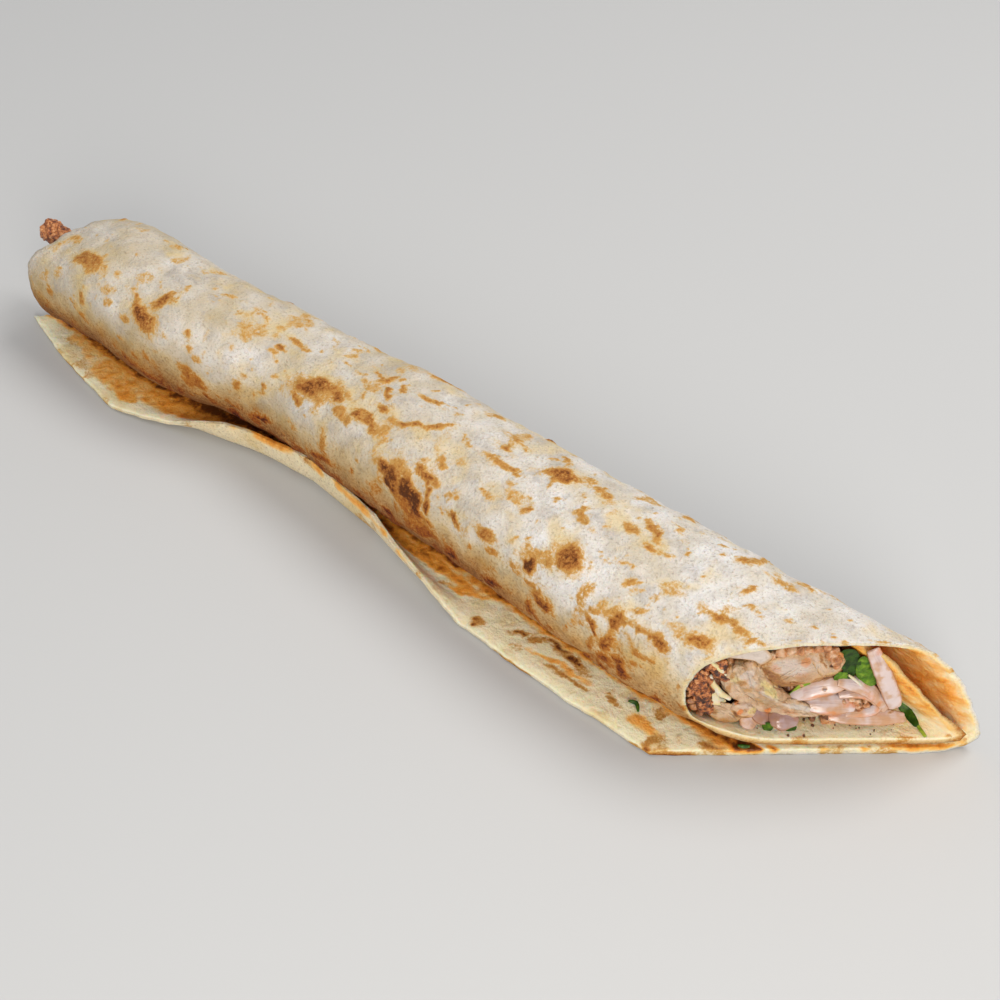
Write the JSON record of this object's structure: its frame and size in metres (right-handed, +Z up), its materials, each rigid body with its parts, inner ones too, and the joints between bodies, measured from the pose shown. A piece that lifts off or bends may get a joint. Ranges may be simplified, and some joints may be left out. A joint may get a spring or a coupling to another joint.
{
  "type": "doner kebab wrap",
  "caption": "Thin flatbread rolled round chicken doner, onion and herbs, cut slantwise at one end, with a loose flap along its front. Lies flat.",
  "frame": {"origin": "middle of the underside's bounding box, on the surface that the wrap lies on", "axes": "+X along the roll from its far end towards the cut mouth, +Y from the loose flap towards the roll's back, +Z up"},
  "size_m": [0.3806, 0.0874, 0.05],
  "materials": {
    "bread": "matt, floury baked dough with brown blisters",
    "filling": "moist mixed filling",
    "crust": "browned, slightly oily meat edge",
    "meat": "moist cooked meat",
    "chicken": "moist cooked chicken",
    "onion": "wet sliced onion"
  },
  "bodies": {
    "root": {"flatbread": "bread", "filling": "filling", "crust_end": "crust", "meat_chunk": "meat", "chicken_strip": "chicken", "chicken_slice": "chicken", "chicken_slice_back": "chicken", "onion_strip": "onion", "onion_arch": "onion", "onion_ring": "onion", "onion_standing": "onion", "onion_bed": "onion", "onion_low": "onion", "meat_tip": "crust"}
  },
  "joints": []
}
